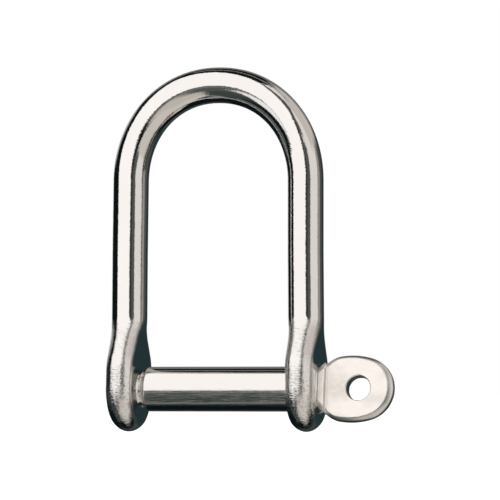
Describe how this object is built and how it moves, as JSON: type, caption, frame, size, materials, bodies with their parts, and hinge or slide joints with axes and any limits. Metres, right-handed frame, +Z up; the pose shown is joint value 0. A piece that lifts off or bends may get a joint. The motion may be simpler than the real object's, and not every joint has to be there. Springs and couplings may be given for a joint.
{
  "type": "screw pin shackle",
  "caption": "Wide D shackle of polished stainless bar with forged ears and a threaded pin that unscrews by its flat eye tab.",
  "frame": {"origin": "on the screw pin's axis, midway between the legs", "axes": "+X along the pin towards its eye tab, +Z up to the crown, -Y the front"},
  "size_m": [0.0651, 0.019, 0.0813],
  "materials": {
    "polished_bow": "forged and mirror polished stainless steel, slightly wavy",
    "polished_pin": "turned and polished stainless steel with fine scratches",
    "satin_tab": "satin stainless steel, finely mottled"
  },
  "bodies": {
    "bow": {"shackle_bow": "polished_bow"},
    "pin_travel": {"pin_shank": "polished_pin"},
    "pin_turn": {"pin_thread": "polished_pin", "pin_head": "satin_tab"}
  },
  "joints": [
    {"name": "pin_withdraw", "type": "slide", "parent": "bow", "child": "pin_travel", "axis": [1, 0, 0], "range_m": [0, 0.04875]},
    {"name": "pin_screw", "type": "hinge", "parent": "pin_travel", "child": "pin_turn", "pos_m": [0, 0, 0], "axis": [1, 0, 0], "range_deg": [0, 14040]}
  ],
  "couplings": [
    {"joint": "pin_screw", "follows": "pin_withdraw", "rad_per_m": 5026.5}
  ]
}
